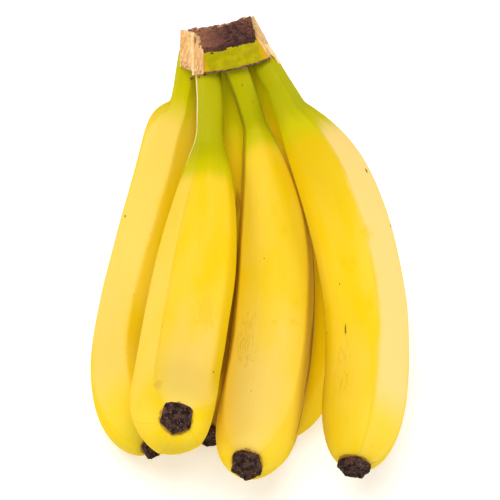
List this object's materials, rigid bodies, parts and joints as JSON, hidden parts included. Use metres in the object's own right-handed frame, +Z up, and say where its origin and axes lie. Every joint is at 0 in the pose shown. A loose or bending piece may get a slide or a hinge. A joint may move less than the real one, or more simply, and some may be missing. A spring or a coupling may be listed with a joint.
{
  "type": "bunch of bananas",
  "caption": "Bunch of ripe bananas fanned from one cut crown, lying on the backs of its lower fingers with the dried blossom ends curling up.",
  "frame": {"origin": "on the surface that the bunch lies on, below the centre of its bounding box", "axes": "+Y towards the cut crown and -Y towards the blossom ends, +X to the right seen from the blossom ends, +Z up"},
  "size_m": [0.1414, 0.214, 0.1205],
  "materials": {
    "peel": "smooth waxy yellow peel with a satin sheen, green at the neck",
    "crown": "matt green skin with a dried, fibrous brown cut face",
    "blossom_tip": "matt, dry and dark brown"
  },
  "bodies": {
    "root": {"crown": "crown", "banana_upper_left": "peel", "banana_upper_middle": "peel", "banana_upper_right": "peel", "banana_lower_left": "peel", "banana_lower_middle": "peel", "banana_lower_right": "peel", "blossom_tip_upper_left": "blossom_tip", "blossom_tip_upper_middle": "blossom_tip", "blossom_tip_upper_right": "blossom_tip", "blossom_tip_lower_left": "blossom_tip", "blossom_tip_lower_middle": "blossom_tip", "blossom_tip_lower_right": "blossom_tip"}
  },
  "joints": []
}
